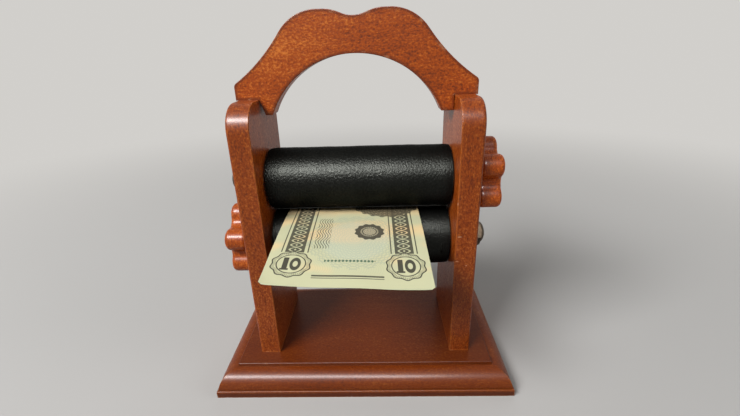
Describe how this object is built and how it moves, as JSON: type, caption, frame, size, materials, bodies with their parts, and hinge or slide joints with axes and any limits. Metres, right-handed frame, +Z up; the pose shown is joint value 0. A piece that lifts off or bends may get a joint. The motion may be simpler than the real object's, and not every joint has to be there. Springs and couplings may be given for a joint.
{
  "type": "two-roller note feeding machine",
  "caption": "Wooden tabletop machine with a crowned arch, cloth-wound rollers and star knobs, which feeds a paper note out between the rollers.",
  "frame": {"origin": "middle of the base board's underside, on the surface it stands on", "axes": "+X to the machine's right as seen from the front, where the upper roller's knob is; +Y to the back, away from the side where the note comes out; +Z up"},
  "size_m": [0.151, 0.1078, 0.182],
  "materials": {
    "base_wood": "gloss lacquered mahogany stain",
    "upright_wood": "gloss lacquered mahogany stain",
    "arch_wood": "gloss lacquered mahogany stain",
    "knob_wood": "gloss lacquered mahogany stain",
    "raw_wood": "bare turned wood",
    "satin": "black satin",
    "steel": "bright steel",
    "bronze": "dark antique bronze",
    "brass": "plain brass",
    "paper": "printed paper"
  },
  "bodies": {
    "stand": {"base_board": "base_wood", "left_upright": "upright_wood", "right_upright": "upright_wood", "arch": "arch_wood", "arch_dowels": "raw_wood", "left_upright_screws": "steel", "right_upright_screws": "steel"},
    "upper_roller": {"upper_roller_core": "raw_wood", "upper_core_pin": "steel", "upper_cloth_tacks": "steel", "upper_cloth": "satin", "upper_axle_rod": "steel", "upper_knob": "knob_wood", "upper_knob_insert": "brass", "upper_knob_washer": "bronze", "upper_nut_washer": "bronze", "upper_cap_nut": "bronze"},
    "lower_roller": {"lower_roller_core": "raw_wood", "lower_core_pin": "steel", "lower_cloth_tacks": "steel", "lower_cloth": "satin", "lower_axle_rod": "steel", "lower_knob": "knob_wood", "lower_knob_insert": "brass", "lower_knob_washer": "bronze", "lower_nut_washer": "bronze", "lower_cap_nut": "bronze"},
    "note": {"paper_note": "paper"}
  },
  "joints": [
    {"name": "upper_roller_turn", "type": "hinge", "parent": "stand", "child": "upper_roller", "pos_m": [0, 0, 0.1045], "axis": [-1, 0, 0], "range_deg": [-222, 314]},
    {"name": "lower_roller_turn", "type": "hinge", "parent": "stand", "child": "lower_roller", "pos_m": [0, 0, 0.0716], "axis": [1, 0, 0], "range_deg": [-213.83, 302.44]},
    {"name": "note_feed", "type": "slide", "parent": "stand", "child": "note", "axis": [0, -0.9976, -0.0698], "range_m": [-0.062, 0.0865]}
  ],
  "couplings": [
    {"joint": "lower_roller_turn", "follows": "upper_roller_turn", "ratio": 0.96319},
    {"joint": "note_feed", "follows": "upper_roller_turn", "m_per_rad": 0.0157}
  ]
}
